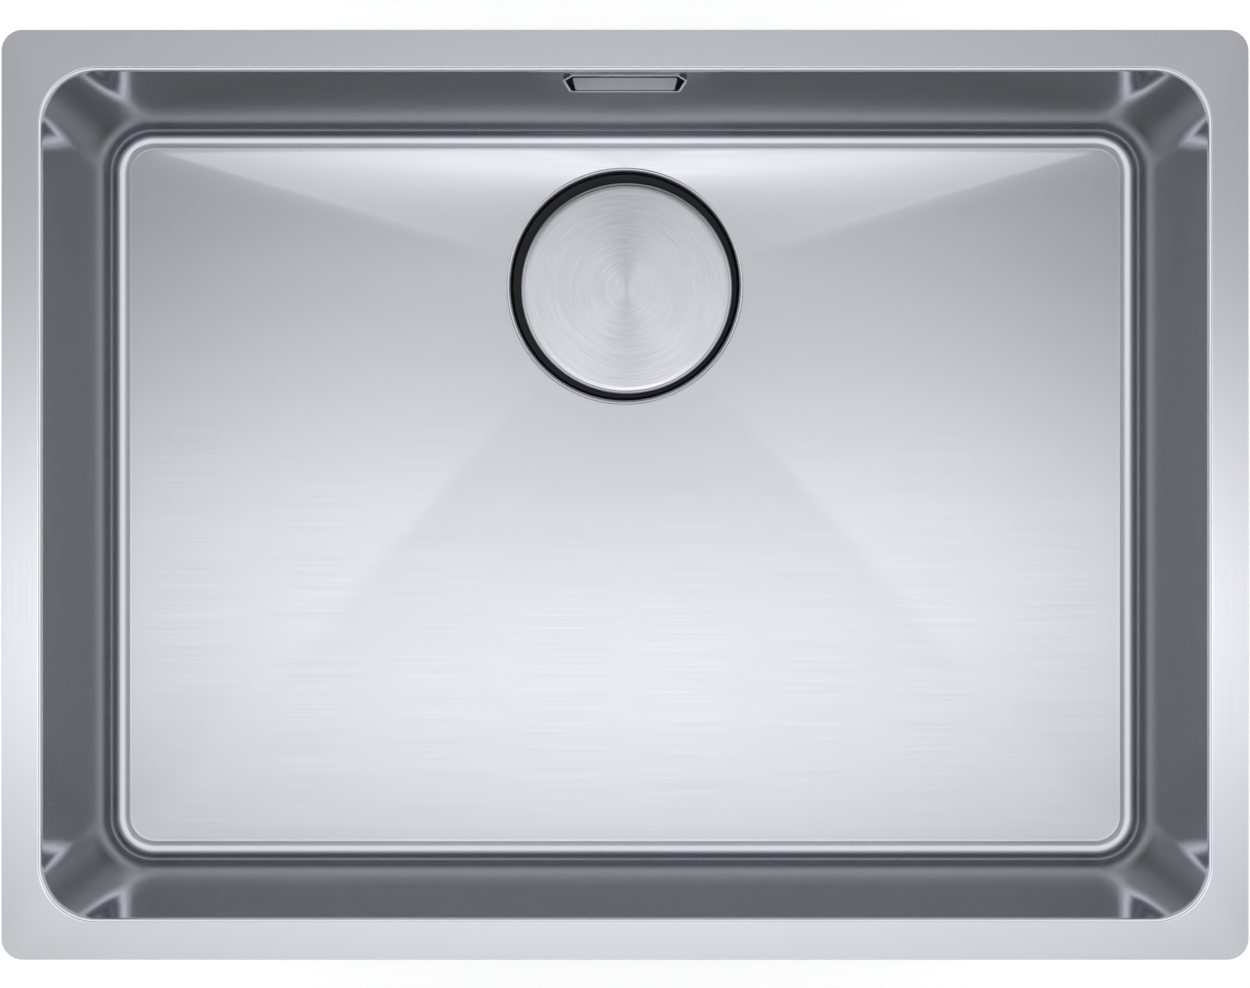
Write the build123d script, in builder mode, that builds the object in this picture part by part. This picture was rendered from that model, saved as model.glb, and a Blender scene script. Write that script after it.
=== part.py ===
from build123d import *
from math import atan, atan2, cos, degrees, isclose, pi, radians, sin, tan
import os

# An undermount kitchen sink with its waste and overflow. Sizes are in millimetres.
# The origin is the centre of the flange's top face, which meets the worktop's underside.
# +X is to the right, +Y to the back, where the drain and the overflow are, and +Z is up.

# Flange and bowl, drawn from one steel sheet
sheet = 1.0
bowl_length = 552
bowl_width = 401
bowl_corner = 26
bowl_depth = 200
flange_side = 19
flange_front = 19.5
flange_corner = 10
wall_run_side = 17
wall_run_front = 16.5
base_corner = 22
floor_fall = 2
fall_border = 1
rim_radius = 2
base_radius = 10

# Drain recess pressed into the floor
drain_back = 78.5
recess_diameter = 115.5
recess_depth = 12
recess_edge = 2
recess_base_radius = 2
ledge_hole = 92

# Sound-deadening pads under the floor
pad_thickness = 2.5
pad_corner = 8
front_pad_length = 420
front_pad_width = 150
front_pad_inset = 34
side_pad_length = 130
side_pad_width = 120
side_pad_gap = 22

# Strainer flange: the moulded dish that holds the basket
flange_gasket = 1.5
gasket_margin = 1
dish_flange_thickness = 2.5
dish_edge_gap = 1.25
dish_diameter = 89
dish_wall = 2
dish_depth = 40
dish_mouth_radius = 1.5
drain_port_diameter = 16
drain_port_count = 8
hub_diameter = 18
hub_height = 8.5
running_clearance = 0.3

# Basket
basket_sheet = 0.8
basket_rim_diameter = 94
basket_diameter = 79
basket_base_diameter = 73
basket_height = 29
basket_mouth_radius = 1.5
basket_base_radius = 5
perforation = 3.4
perforation_rings = (13, 20, 27)
perforation_pitch = 7.2
slot_width = 2.4
slot_height = 10
slot_rise = 6
slot_count = 24
seal_height = 3
seal_drop = 2.5
seal_clearance = 0.1
knob_diameter = 18
knob_height = 5
knob_edge = 3
post_diameter = 7
collar_diameter = 14
collar_height = 1.2

# Cover disc and its carrier
cover_diameter = 107.5
cover_sheet = 1.2
cover_skirt = 4
cover_edge = 2
cover_drop = 1.5
cover_shift_x = 0.8
cover_shift_y = -1.2
carrier_diameter = 100
carrier_thickness = 1.5
foot_ring_diameter = 87
foot_ring_wall = 3
foot_notch = 14
foot_notch_count = 6

# Waste body under the ledge
body_gasket_thickness = 2
body_diameter = 101
body_wall = 2.5
body_flange_diameter = 114
body_flange_thickness = 4
body_depth = 41
cone_height = 16
outlet_thread_diameter = 47.8
outlet_thread_length = 18
outlet_wall = 4.4
outlet_shoulder = 1.1
cross_seat = 2
web_thickness = 2.5
web_count = 4
waste_hub_diameter = 16
waste_hub_height = 12

# Clamping screw between the strainer flange and the waste body
screw_diameter = 6
screw_head_diameter = 10
screw_head_height = 3.5
screw_clearance = 0.3
screw_chamfer = 0.5
screw_key = 5
screw_key_depth = 2
nut_flats = 10
nut_height = 5

# Overflow trim on the back wall
overflow_drop = 11
overflow_width = 59.5
overflow_height = 23
overflow_tilt = 16.5
overflow_stand = 0.5
overflow_top = 51
overflow_bottom = 53
overflow_shoulder = 4.5
overflow_corner = 2.5
overflow_lip = 1.2
hole_inset = 2
plate_length = 50
plate_height = 17.3
plate_taper = 1.5
plate_corner = 1.5
plate_sheet = 0.8
plate_recess = 0.3
plate_floor_gap = 0.5
bridge_length = 28
peg_diameter = 4
peg_length = 1.8
peg_clearance = 0.1
boss_diameter = 8
trim_screw_pitch = 18
trim_screw_drop = 3
trim_screw_diameter = 3.2
trim_screw_length = 14
trim_head_diameter = 5.6
trim_head_height = 2
trim_head_seat = 0.6
trim_head_clearance = 0.2

# Overflow housing and pipe behind the back wall
gasket_thickness = 2
housing_rim = 1
housing_flange = 3
housing_inset = 0.5
housing_depth = 17
housing_wall = 2
neck_diameter = 17
neck_length = 4
pipe_back = 10
pipe_diameter = 19
pipe_wall = 1.5
pipe_clearance = 0.2
spigot_diameter = 22.6
spigot_length = 22
spigot_end = 60
pipe_entry = 10
pipe_bend = 25
branch_depth = 24
branch_length = 19
bellows_top = 110
bellows_pitch = 7
bellows_ribs = 8
bellows_diameter = 24.4
washer_height = 4
washer_chamfer = 1
coupling_diameter = 25.6
coupling_sides = 8
coupling_overlap = 9
coupling_web = 3
coupling_chamfer = 0.8

# Lengths and places that follow from the bowl's opening
flange_length = bowl_length + 2 * flange_side
flange_width = bowl_width + 2 * flange_front
base_length = bowl_length - 2 * wall_run_side
base_width = bowl_width - 2 * wall_run_front
drain_offset = base_width / 2 - drain_back
pipe_offset = bowl_width / 2 + pipe_back

# Heights and levels that follow from the sizes above
floor_depth = bowl_depth - floor_fall
ledge = -bowl_depth - recess_depth
ledge_under = ledge - sheet
dish_top = ledge + flange_gasket + dish_flange_thickness
dish_base = dish_top - dish_depth
hub_top = dish_base + hub_height
basket_top = dish_top + basket_sheet
basket_floor = basket_top - basket_height
basket_under = basket_floor - basket_sheet
knob_top = basket_top - running_clearance
cover_top = -bowl_depth - cover_drop
carrier_top = cover_top - cover_sheet
body_top = ledge_under - body_gasket_thickness
body_end = body_top - body_depth
cone_end = body_end - cone_height
outlet_end = cone_end - outlet_thread_length
waste_hub_top = dish_base
waste_hub_end = waste_hub_top - waste_hub_height
pipe_level = ledge_under - branch_depth

# Radii about the drain's axis
recess_radius = recess_diameter / 2
rim_circle = recess_radius + recess_edge
dish_flange_radius = recess_radius - dish_edge_gap
dish_radius = dish_diameter / 2
dish_bore = dish_radius - dish_wall
basket_outer = basket_diameter / 2 + basket_sheet
seal_radius = dish_bore - running_clearance
socket_radius = screw_head_diameter / 2 + screw_clearance
plug_radius = socket_radius - running_clearance
thread_radius = outlet_thread_diameter / 2
outlet_bore = thread_radius - outlet_wall
body_radius = body_diameter / 2
body_bore = body_radius - body_wall

# The drain's own section plane, where local x is the radius and local y the height
drain_section = Plane(origin=(0, drain_offset, 0), x_dir=(1, 0, 0), z_dir=(0, -1, 0))
drain_axis = Axis((0, drain_offset, 0), (0, 0, 1))
cover_offset = drain_offset + cover_shift_y
cover_section = Plane(origin=(cover_shift_x, cover_offset, 0), x_dir=(1, 0, 0), z_dir=(0, -1, 0))
cover_axis = Axis((cover_shift_x, cover_offset, 0), (0, 0, 1))

# The back wall's plane and the overflow trim's face, both with local y pointing up
back_lean = atan(wall_run_front / floor_depth)
tilt = radians(overflow_tilt)
trim_centre_z = -overflow_drop - overflow_height / 2 * cos(tilt)
wall_y = bowl_width / 2 + trim_centre_z * tan(back_lean)
trim_top_y = bowl_width / 2 - overflow_drop * tan(back_lean) - overflow_stand
trim_centre_y = trim_top_y - overflow_height / 2 * sin(tilt)
wall_plane = Plane(
    origin=(0, wall_y, trim_centre_z), x_dir=(1, 0, 0), z_dir=(0, -cos(back_lean), sin(back_lean))
)
trim_plane = Plane(
    origin=(0, trim_centre_y, trim_centre_z), x_dir=(1, 0, 0), z_dir=(0, -cos(tilt), sin(tilt))
)
wall_thickness = sheet * cos(back_lean)
gasket_back = wall_thickness + gasket_thickness
housing_back = gasket_back + housing_depth
plate_under = plate_recess + plate_sheet

# The overflow pipe's course, from the housing down and forward to the waste body
pipe_radius = pipe_diameter / 2
pipe_bore = pipe_radius - pipe_wall
spigot_radius = spigot_diameter / 2
spigot_bore = pipe_radius + pipe_clearance
pipe_top = -spigot_end + pipe_entry
branch_end = drain_offset + body_radius + branch_length
pipe_front = branch_end - pipe_entry
bend_start = pipe_level + pipe_bend
bellows_end = -bellows_top - bellows_ribs * bellows_pitch
pipe_section = Plane(origin=(0, pipe_offset, 0), x_dir=(1, 0, 0), z_dir=(0, -1, 0))
spigot_plane = Plane(origin=(0, pipe_offset, -spigot_end), x_dir=(1, 0, 0), z_dir=(0, 0, -1))
branch_plane = Plane(origin=(0, branch_end, pipe_level), x_dir=(1, 0, 0), z_dir=(0, 1, 0))


def rounded_outline(height, length, width, corner):
    """A rounded rectangle about the bowl's centre, at the given height."""
    with BuildSketch(Plane.XY.offset(height)) as outline:
        RectangleRounded(length, width, corner)
    return outline.sketch


def corner_points(length, width, corner):
    """The eight ends of a rounded rectangle's sides, anticlockwise from the right side's foot."""
    x, y = length / 2, width / 2
    return [
        (x, corner - y), (x, y - corner), (x - corner, y), (corner - x, y),
        (-x, y - corner), (-x, corner - y), (corner - x, -y), (x - corner, -y),
    ]


def fall(top):
    """The shallow hopper under the flat border of the floor, down to the drain's rim."""
    bend_run = base_radius / tan((radians(90) + back_lean) / 2)
    inset = bend_run + fall_border
    length = base_length - 2 * inset
    width = base_width - 2 * inset
    corner = base_corner - inset
    points = corner_points(length, width, corner)
    angles = [degrees(atan2(y - drain_offset, x)) for x, y in points]
    with BuildPart() as hopper:
        with BuildSketch(Plane.XY.offset(top)) as floor_edge:
            RectangleRounded(length, width, corner)
        with BuildSketch(Plane.XY.offset(top - floor_fall)) as drain_rim:
            with BuildLine():
                for start, end in zip(angles, angles[1:] + angles[:1]):
                    CenterArc((0, drain_offset), rim_circle, start, (end - start) % 360)
            make_face()
        loft(ruled=True)
    return hopper.part


def is_straight(edge):
    """Whether an edge is a straight line between its two ends."""
    return isclose(edge.length, (edge.position_at(1) - edge.position_at(0)).length)


def tapered_form(skin):
    """The leaning walls' solid, with flat walls between corners whose radius shrinks downwards."""
    length = bowl_length + 2 * skin
    width = bowl_width + 2 * skin
    corner = bowl_corner + skin
    reach = (floor_depth + skin) / floor_depth
    foot_length = length - (bowl_length - base_length) * reach
    foot_width = width - (bowl_width - base_width) * reach
    foot_corner = corner - (bowl_corner - base_corner) * reach
    with BuildPart() as taper:
        loft(
            sections=[
                rounded_outline(0, length, width, corner),
                rounded_outline(-floor_depth - skin, foot_length, foot_width, foot_corner),
            ],
            ruled=True,
        )
    faces = [
        Face(face.outer_wire()) if all(is_straight(edge) for edge in face.edges()) else face
        for face in taper.faces()
    ]
    return Solid(Shell(faces))


def pressed_form(skin):
    """The bowl's hollow, grown outwards by the given skin, with its bend and its fall."""
    with BuildPart() as form:
        add(tapered_form(skin))
        fillet(form.faces().sort_by(Axis.Z)[0].edges(), base_radius + skin)
        add(fall(-floor_depth - skin))
    return form.part


def trim_outline(plane, inset):
    """The overflow trim's six-sided outline on a plane, drawn in by the given inset."""
    half = overflow_height / 2
    with BuildSketch(plane) as outline:
        with BuildLine():
            Polyline(
                (-overflow_top / 2, half),
                (-overflow_width / 2, overflow_shoulder),
                (-overflow_bottom / 2, -half),
                (overflow_bottom / 2, -half),
                (overflow_width / 2, overflow_shoulder),
                (overflow_top / 2, half),
                close=True,
            )
        make_face()
        fillet(outline.vertices(), overflow_corner)
        if inset:
            offset(amount=-inset, mode=Mode.REPLACE)
    return outline.sketch


os.makedirs("parts", exist_ok=True)

# Bowl: flange, leaning walls, bend, falling floor, drain recess and overflow hole
with BuildPart() as bowl:
    add(pressed_form(sheet))
    with BuildSketch(Plane.XY.offset(-sheet)):
        RectangleRounded(flange_length, flange_width, flange_corner)
    extrude(amount=sheet)
    add(pressed_form(0), mode=Mode.SUBTRACT)
    mouth = bowl.faces().sort_by(Axis.Z)[-1].inner_wires()[0].edges()
    fillet(mouth, rim_radius)
    under = bowl.faces().filter_by(Plane.XY).filter_by(lambda face: isclose(face.center().Z, -sheet))
    fillet(under.sort_by(SortBy.AREA)[-1].inner_wires()[0].edges(), rim_radius - sheet)
    with BuildSketch(Plane((0, drain_offset, -bowl_depth - sheet))):
        Circle(rim_circle)
    extrude(amount=floor_fall + sheet, mode=Mode.SUBTRACT)
    with BuildSketch(drain_section):
        with BuildLine():
            edge = JernArc((rim_circle, -bowl_depth), (-1, 0), recess_edge, 90)
            wall = Line(edge @ 1, (recess_radius, ledge + recess_base_radius))
            base = JernArc(wall @ 1, (0, -1), recess_base_radius, -90)
            Line(base @ 1, (ledge_hole / 2, ledge))
            offset(amount=sheet, side=Side.LEFT)
        make_face()
    revolve(axis=drain_axis)
    extrude(trim_outline(wall_plane, hole_inset), amount=2 * sheet, both=True, mode=Mode.SUBTRACT)
bowl.part.label = "bowl"
export_step(bowl.part, "parts/bowl.step")

# Sound-deadening pads: even layers stuck to the falling floor's underside
side_pad_x = rim_circle + side_pad_gap + side_pad_length / 2
front_pad_y = -base_width / 2 + front_pad_inset + front_pad_width / 2
pads = {
    "sound_pad_front": (0, front_pad_y, front_pad_length, front_pad_width),
    "sound_pad_left": (-side_pad_x, drain_offset, side_pad_length, side_pad_width),
    "sound_pad_right": (side_pad_x, drain_offset, side_pad_length, side_pad_width),
}
for pad_name, (pad_x, pad_y, pad_length, pad_width) in pads.items():
    with BuildPart() as sound_pad:
        add(pressed_form(sheet + pad_thickness))
        add(pressed_form(sheet), mode=Mode.SUBTRACT)
        with BuildSketch(Plane((pad_x, pad_y, -bowl_depth - sheet - 2 * pad_thickness))):
            RectangleRounded(pad_length, pad_width, pad_corner)
        extrude(amount=floor_fall + sheet + 2 * pad_thickness, mode=Mode.INTERSECT)
    sound_pad.part.label = pad_name
    export_step(sound_pad.part, f"parts/{pad_name}.step")

# Overflow trim frame: a wedge that stands off the leaning wall, with a bridge behind the plate
trim_reach = overflow_height
screw_spots = [(-trim_screw_pitch / 2, -trim_screw_drop), (trim_screw_pitch / 2, -trim_screw_drop)]
trim_screw_radius = trim_screw_diameter / 2
trim_head_radius = trim_head_diameter / 2
boss_front = gasket_back + housing_flange
with BuildPart() as overflow_frame:
    extrude(trim_outline(trim_plane, 0), amount=-trim_reach)
    split(bisect_by=wall_plane, keep=Keep.TOP)
    extrude(trim_outline(trim_plane, overflow_lip), amount=-plate_under, mode=Mode.SUBTRACT)
    with BuildSketch(trim_plane) as ports:
        add(trim_outline(Plane.XY, overflow_lip))
        Rectangle(bridge_length, overflow_height, mode=Mode.SUBTRACT)
    extrude(amount=-trim_reach, mode=Mode.SUBTRACT)
    with BuildSketch(wall_plane):
        with Locations(*screw_spots):
            Circle(boss_diameter / 2)
    extrude(amount=-boss_front)
    with BuildSketch(wall_plane.offset(-trim_head_seat)):
        with Locations(*screw_spots):
            Circle(trim_head_radius + trim_head_clearance)
    extrude(amount=trim_reach, mode=Mode.SUBTRACT)
    with BuildSketch(wall_plane):
        with Locations(*screw_spots):
            Circle(trim_screw_radius + peg_clearance)
    extrude(amount=-boss_front, mode=Mode.SUBTRACT)
    with BuildSketch(trim_plane):
        Circle(peg_diameter / 2 + peg_clearance)
    extrude(amount=-trim_reach, mode=Mode.SUBTRACT)
overflow_frame.part.label = "overflow_frame"
export_step(overflow_frame.part, "parts/overflow_frame.step")

# Overflow plate: a bare tapered plate on a peg, with an inlet gap at each end
plate_foot = -overflow_height / 2 + overflow_lip + plate_floor_gap
plate_head = plate_foot + plate_height
with BuildPart() as overflow_plate:
    with BuildSketch(trim_plane.offset(-plate_recess)) as plate_face:
        with BuildLine():
            Polyline(
                (-plate_length / 2, plate_head),
                (plate_taper - plate_length / 2, plate_foot),
                (plate_length / 2 - plate_taper, plate_foot),
                (plate_length / 2, plate_head),
                close=True,
            )
        make_face()
        fillet(plate_face.vertices(), plate_corner)
    extrude(amount=-plate_sheet)
    with BuildSketch(trim_plane.offset(-plate_under)):
        Circle(peg_diameter / 2)
    extrude(amount=-peg_length)
overflow_plate.part.label = "overflow_plate"
export_step(overflow_plate.part, "parts/overflow_plate.step")

# Overflow screws: two, hidden by the plate, from the trim into the housing's bosses
with BuildPart() as overflow_screws:
    with BuildSketch(wall_plane.offset(-trim_head_seat)):
        with Locations(*screw_spots):
            Circle(trim_head_radius)
    extrude(amount=trim_head_height)
    with BuildSketch(wall_plane.offset(-trim_head_seat)):
        with Locations(*screw_spots):
            Circle(trim_screw_radius)
    extrude(amount=-trim_screw_length)
overflow_screws.part.label = "overflow_screws"
export_step(overflow_screws.part, "parts/overflow_screws.step")

# Overflow gasket between the wall's back and the housing
with BuildPart() as overflow_gasket:
    extrude(trim_outline(wall_plane.offset(-wall_thickness), -housing_rim), amount=-gasket_thickness)
    extrude(
        trim_outline(wall_plane.offset(-wall_thickness), hole_inset),
        amount=-gasket_thickness,
        mode=Mode.SUBTRACT,
    )
overflow_gasket.part.label = "overflow_gasket"
export_step(overflow_gasket.part, "parts/overflow_gasket.step")

# Overflow housing: a moulded box behind the wall, with screw bosses and a spigot below
neck_end = -spigot_end + spigot_length
with BuildPart() as overflow_housing:
    extrude(trim_outline(wall_plane.offset(-gasket_back), -housing_rim), amount=-housing_flange)
    extrude(trim_outline(wall_plane.offset(-gasket_back), housing_inset), amount=-housing_depth)
    with BuildSketch(Plane((0, pipe_offset, neck_end))):
        Circle(neck_diameter / 2)
    extrude(amount=trim_centre_z - neck_end)
    with BuildSketch(spigot_plane):
        Circle(spigot_radius)
    extrude(amount=-spigot_length)
    extrude(
        trim_outline(wall_plane.offset(-gasket_back), housing_inset + housing_wall),
        amount=-(housing_depth - housing_wall),
        mode=Mode.SUBTRACT,
    )
    with BuildSketch(Plane((0, pipe_offset, neck_end - neck_length))):
        Circle(neck_diameter / 2 - housing_wall)
    extrude(amount=trim_centre_z - neck_end + neck_length, mode=Mode.SUBTRACT)
    with BuildSketch(spigot_plane):
        Circle(spigot_bore)
    extrude(amount=-(spigot_length - neck_length), mode=Mode.SUBTRACT)
    with BuildSketch(wall_plane.offset(-boss_front)):
        with Locations(*screw_spots):
            Circle(boss_diameter / 2)
            Circle(trim_screw_radius + peg_clearance / 2, mode=Mode.SUBTRACT)
    extrude(amount=-(housing_back - boss_front - housing_wall))
overflow_housing.part.label = "overflow_housing"
export_step(overflow_housing.part, "parts/overflow_housing.step")

# Overflow pipe: a stiff moulded pipe with a short bellows and one bend
with BuildPart() as overflow_pipe:
    with BuildSketch(Plane((0, pipe_offset, -bellows_top))):
        Circle(pipe_radius)
        Circle(pipe_bore, mode=Mode.SUBTRACT)
    extrude(amount=pipe_top + bellows_top)
    with BuildSketch(pipe_section):
        with BuildLine():
            outer = [(pipe_radius, -bellows_top)]
            for rib in range(bellows_ribs):
                rib_top = -bellows_top - rib * bellows_pitch
                outer.append((bellows_diameter / 2, rib_top - bellows_pitch / 2))
                outer.append((pipe_radius, rib_top - bellows_pitch))
            inner = [(radius - pipe_wall, height) for radius, height in reversed(outer)]
            Polyline(*outer, *inner, close=True)
        make_face()
    revolve(axis=Axis((0, pipe_offset, 0), (0, 0, 1)))
    with BuildLine(Plane.YZ) as course:
        drop = Line((pipe_offset, bellows_end), (pipe_offset, bend_start))
        bend = JernArc(drop @ 1, drop % 1, pipe_bend, -90)
        Line(bend @ 1, (pipe_front, pipe_level))
    with BuildSketch(Plane((0, pipe_offset, bellows_end))):
        Circle(pipe_radius)
        Circle(pipe_bore, mode=Mode.SUBTRACT)
    sweep(path=course.wires()[0])
overflow_pipe.part.label = "overflow_pipe"
export_step(overflow_pipe.part, "parts/overflow_pipe.step")

# Coupling nuts and washers: one pair on the housing's spigot, one on the waste body's branch
for joint_name, joint_plane in {"upper": spigot_plane, "lower": branch_plane}.items():
    outwards = Axis(joint_plane.origin, joint_plane.z_dir)
    with BuildPart() as washer:
        with BuildSketch(joint_plane):
            Circle(spigot_radius)
        extrude(amount=washer_height)
        chamfer(washer.faces().sort_by(outwards)[-1].edges(), washer_chamfer)
        with BuildSketch(joint_plane):
            Circle(spigot_bore)
        extrude(amount=washer_height, mode=Mode.SUBTRACT)
    washer.part.label = f"overflow_{joint_name}_washer"
    export_step(washer.part, f"parts/overflow_{joint_name}_washer.step")
    with BuildPart() as nut:
        with BuildSketch(joint_plane.offset(-coupling_overlap)):
            RegularPolygon(coupling_diameter / 2, coupling_sides)
        extrude(amount=coupling_overlap + washer_height + coupling_web)
        chamfer(nut.faces().sort_by(outwards)[-1].edges(), coupling_chamfer)
        with BuildSketch(joint_plane.offset(-coupling_overlap)):
            Circle(spigot_radius + pipe_clearance)
        extrude(amount=coupling_overlap + washer_height, mode=Mode.SUBTRACT)
        with BuildSketch(joint_plane):
            Circle(spigot_bore)
        extrude(amount=washer_height + coupling_web, mode=Mode.SUBTRACT)
    nut.part.label = f"overflow_{joint_name}_nut"
    export_step(nut.part, f"parts/overflow_{joint_name}_nut.step")

# Waste body: flange, cup and cone, with the overflow's branch and a step that seats the cross
cone_shoulder = thread_radius + outlet_shoulder
with BuildPart() as waste_body:
    with BuildSketch(drain_section):
        with BuildLine():
            Polyline(
                (0, body_top),
                (body_flange_diameter / 2, body_top),
                (body_flange_diameter / 2, body_top - body_flange_thickness),
                (body_radius, body_top - body_flange_thickness),
                (body_radius, body_end),
                (cone_shoulder, cone_end),
                (0, cone_end),
                close=True,
            )
        make_face()
    revolve(axis=drain_axis)
    with BuildSketch(branch_plane):
        Circle(spigot_radius)
    extrude(amount=-(branch_length + body_radius))
    with BuildSketch(drain_section):
        with BuildLine():
            Polyline(
                (0, body_top),
                (body_bore, body_top),
                (body_bore, body_end),
                (body_bore - cross_seat, body_end),
                (outlet_bore, cone_end + body_wall),
                (outlet_bore, cone_end),
                (0, cone_end),
                close=True,
            )
        make_face()
    revolve(axis=drain_axis, mode=Mode.SUBTRACT)
    with BuildSketch(branch_plane):
        Circle(spigot_bore)
    extrude(amount=-(branch_length - neck_length), mode=Mode.SUBTRACT)
    with BuildSketch(branch_plane):
        Circle(pipe_bore)
    extrude(amount=-(branch_length + body_radius), mode=Mode.SUBTRACT)
waste_body.part.label = "waste_body"
export_step(waste_body.part, "parts/waste_body.step")

# Waste outlet: a tube welded to the cone's end face, as wide as its thread
with BuildPart() as waste_outlet:
    with BuildSketch(Plane((0, drain_offset, outlet_end))):
        Circle(thread_radius)
        Circle(outlet_bore, mode=Mode.SUBTRACT)
    extrude(amount=outlet_thread_length)
waste_outlet.part.label = "waste_outlet"
export_step(waste_outlet.part, "parts/waste_outlet.step")

# Waste cross: four webs on the cup's step, with a hub that holds the clamping screw's nut
cross_radius = body_bore - running_clearance
with BuildPart() as waste_cross:
    with BuildSketch(Plane((0, drain_offset, waste_hub_end))):
        Circle(waste_hub_diameter / 2)
    extrude(amount=waste_hub_height)
    with BuildSketch(Plane((0, drain_offset, body_end))):
        Circle(cross_radius)
    extrude(amount=waste_hub_top - body_end)
    with BuildSketch(Plane((0, drain_offset, body_end))):
        Circle(cross_radius)
        Circle(waste_hub_diameter / 2, mode=Mode.SUBTRACT)
        with PolarLocations(0, web_count, 180 / web_count):
            Rectangle(2 * cross_radius, web_thickness, mode=Mode.SUBTRACT)
    extrude(amount=waste_hub_top - body_end, mode=Mode.SUBTRACT)
    with BuildSketch(Plane((0, drain_offset, waste_hub_end))):
        Circle(screw_diameter / 2 + screw_clearance)
    extrude(amount=waste_hub_height, mode=Mode.SUBTRACT)
    with BuildSketch(Plane((0, drain_offset, waste_hub_end))):
        RegularPolygon(nut_flats / 2 + peg_clearance, 6, major_radius=False)
    extrude(amount=nut_height, mode=Mode.SUBTRACT)
waste_cross.part.label = "waste_cross"
export_step(waste_cross.part, "parts/waste_cross.step")

# Gaskets above and below the ledge
ledge_flat = recess_radius - recess_base_radius - gasket_margin
with BuildPart() as body_gasket:
    with BuildSketch(Plane((0, drain_offset, body_top))):
        Circle(ledge_flat)
        Circle(body_bore + gasket_margin, mode=Mode.SUBTRACT)
    extrude(amount=body_gasket_thickness)
body_gasket.part.label = "body_gasket"
export_step(body_gasket.part, "parts/body_gasket.step")

with BuildPart() as flange_seal:
    with BuildSketch(Plane((0, drain_offset, ledge))):
        Circle(ledge_flat)
        Circle(ledge_hole / 2 + gasket_margin, mode=Mode.SUBTRACT)
    extrude(amount=flange_gasket)
flange_seal.part.label = "flange_gasket"
export_step(flange_seal.part, "parts/flange_gasket.step")

# Strainer flange: a black moulded dish with a spoked floor and a socket for the basket's post
dish_floor = dish_base + dish_wall
hub_radius = hub_diameter / 2
screw_bore = screw_diameter / 2 + screw_clearance
with BuildPart() as strainer_flange:
    with BuildSketch(drain_section) as dish_profile:
        with BuildLine():
            Polyline(
                (screw_bore, dish_base),
                (dish_radius, dish_base),
                (dish_radius, dish_top - dish_flange_thickness),
                (dish_flange_radius, dish_top - dish_flange_thickness),
                (dish_flange_radius, dish_top),
                (dish_bore, dish_top),
                (dish_bore, dish_floor),
                (hub_radius, dish_floor),
                (hub_radius, hub_top),
                (socket_radius, hub_top),
                (socket_radius, dish_floor),
                (screw_bore, dish_floor),
                close=True,
            )
        make_face()
        mouth_corner = dish_profile.vertices().sort_by_distance(Vertex(dish_bore, dish_top, 0))[0]
        fillet(mouth_corner, dish_mouth_radius)
    revolve(axis=drain_axis)
    with BuildSketch(Plane((0, drain_offset, dish_base))):
        with PolarLocations((dish_bore + hub_radius) / 2, drain_port_count, 180 / drain_port_count):
            Circle(drain_port_diameter / 2)
    extrude(amount=dish_wall, mode=Mode.SUBTRACT)
strainer_flange.part.label = "strainer_flange"
export_step(strainer_flange.part, "parts/strainer_flange.step")

# Clamping screw and its captive nut
with BuildPart() as clamp_screw:
    with BuildSketch(Plane((0, drain_offset, dish_floor))):
        Circle(screw_head_diameter / 2)
    extrude(amount=screw_head_height)
    chamfer(clamp_screw.faces().sort_by(Axis.Z)[-1].edges(), screw_chamfer)
    with BuildSketch(Plane((0, drain_offset, dish_floor + screw_head_height))):
        RegularPolygon(screw_key / 2, 6, major_radius=False)
    extrude(amount=-screw_key_depth, mode=Mode.SUBTRACT)
    with BuildSketch(Plane((0, drain_offset, dish_floor))):
        Circle(screw_diameter / 2)
    extrude(amount=waste_hub_end - dish_floor)
clamp_screw.part.label = "clamp_screw"
export_step(clamp_screw.part, "parts/clamp_screw.step")

with BuildPart() as clamp_nut:
    with BuildSketch(Plane((0, drain_offset, waste_hub_end))):
        RegularPolygon(nut_flats / 2, 6, major_radius=False)
        Circle(screw_diameter / 2 + peg_clearance / 2, mode=Mode.SUBTRACT)
    extrude(amount=nut_height)
clamp_nut.part.label = "clamp_nut"
export_step(clamp_nut.part, "parts/clamp_nut.step")

# Basket: a pressed cup with a flat rim, holes through its floor and slots through its side
basket_lean = (basket_diameter - basket_base_diameter) / 2 / basket_height
post_radius = post_diameter / 2


def basket_radius(height):
    """The basket wall's outer radius at the given height."""
    return basket_outer - (basket_top - height) * basket_lean


with BuildPart() as strainer_basket:
    with BuildSketch(drain_section):
        with BuildLine():
            FilletPolyline(
                (basket_rim_diameter / 2, basket_top),
                (basket_diameter / 2, basket_top),
                (basket_base_diameter / 2, basket_floor),
                (post_radius + peg_clearance, basket_floor),
                radius=(basket_mouth_radius, basket_base_radius),
            )
            offset(amount=basket_sheet, side=Side.LEFT)
        make_face()
    revolve(axis=drain_axis)
    with BuildSketch(Plane((0, drain_offset, basket_floor))):
        for ring in perforation_rings:
            with PolarLocations(ring, int(2 * pi * ring / perforation_pitch)):
                Circle(perforation / 2)
    extrude(amount=-basket_sheet, mode=Mode.SUBTRACT)
    with BuildSketch(Plane((0, drain_offset, basket_floor + slot_rise))):
        with PolarLocations(basket_radius(basket_floor), slot_count):
            Rectangle(slot_height, slot_width)
    extrude(amount=slot_height, mode=Mode.SUBTRACT)
strainer_basket.part.label = "strainer_basket"
export_step(strainer_basket.part, "parts/strainer_basket.step")

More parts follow.
